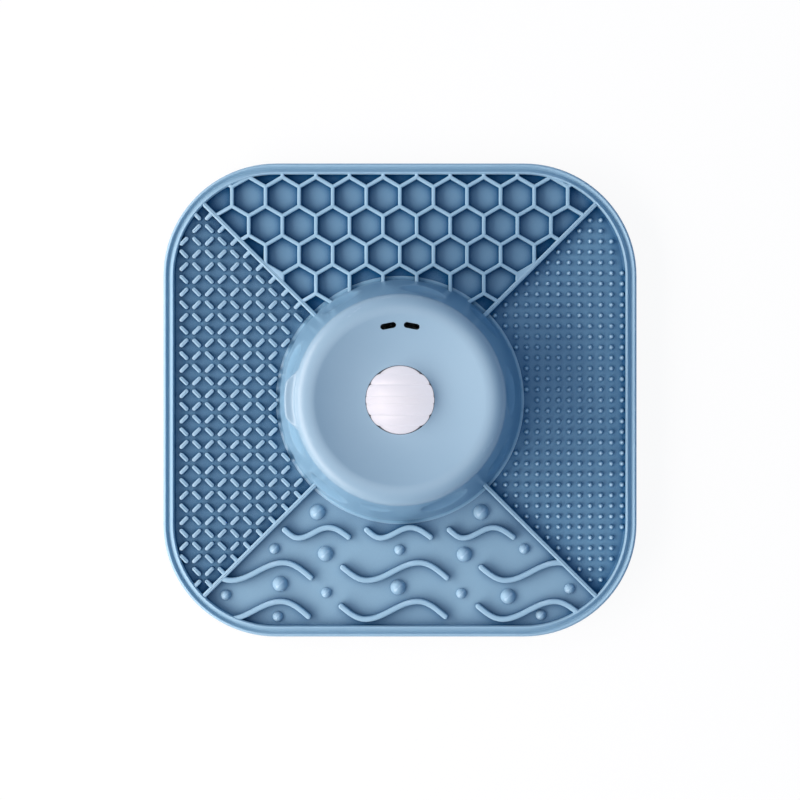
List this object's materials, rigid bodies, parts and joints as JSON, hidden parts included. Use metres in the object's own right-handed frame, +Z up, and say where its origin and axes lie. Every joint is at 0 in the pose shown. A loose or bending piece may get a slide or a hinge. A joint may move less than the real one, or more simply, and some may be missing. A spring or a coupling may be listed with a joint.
{
  "type": "lick mat",
  "caption": "Square lick mat with four raised textures and a central filled well, whose lifting lid holds a roller ball; suction cups below.",
  "frame": {"origin": "centre of the square mat, on the surface that the suction cups stand on", "axes": "+Z up; +Y towards the honeycomb quarter, which is the top of the picture; +X towards the dotted quarter, away from the lid's pull tab"},
  "size_m": [0.2, 0.2, 0.0508],
  "materials": {
    "silicone": "soft food-grade silicone, satin, light blue",
    "suction_silicone": "soft clear-blue silicone, glossy lip",
    "hub_plastic": "moulded polypropylene, fine satin, light blue",
    "cup_plastic": "smooth moulded polypropylene, pale blue",
    "lid_plastic": "moulded polypropylene, satin, light blue",
    "seal_rubber": "translucent silicone ring",
    "white_plastic": "white moulded polypropylene",
    "ball_plastic": "warm white moulded nylon, satin"
  },
  "bodies": {
    "base": {"mat": "silicone", "hub_housing": "hub_plastic", "hub_base": "hub_plastic", "suction_cup_front_left": "suction_silicone", "suction_cup_front_right": "suction_silicone", "suction_cup_back_left": "suction_silicone", "suction_cup_back_right": "suction_silicone", "suction_cup_centre": "suction_silicone"},
    "cup": {"reservoir_cup": "cup_plastic"},
    "lid": {"lid": "lid_plastic", "lid_seal": "seal_rubber"},
    "cage": {"ball_cage": "white_plastic"},
    "ball": {"ball_front_half": "ball_plastic", "ball_back_half": "ball_plastic"}
  },
  "joints": [
    {"name": "cup_lift", "type": "slide", "parent": "base", "child": "cup", "axis": [0, 0, 1], "range_m": [0, 0.06]},
    {"name": "lid_lift", "type": "slide", "parent": "cup", "child": "lid", "axis": [0, 0, 1], "range_m": [0, 0.06]},
    {"name": "cage_twist", "type": "hinge", "parent": "lid", "child": "cage", "pos_m": [0, 0, 0.0336], "axis": [0, 0, 1], "range_deg": [-25, 0]},
    {"name": "ball_roll", "type": "hinge", "parent": "lid", "child": "ball", "pos_m": [0, 0, 0.03562], "axis": [1, 0, 0], "continuous": true}
  ]
}
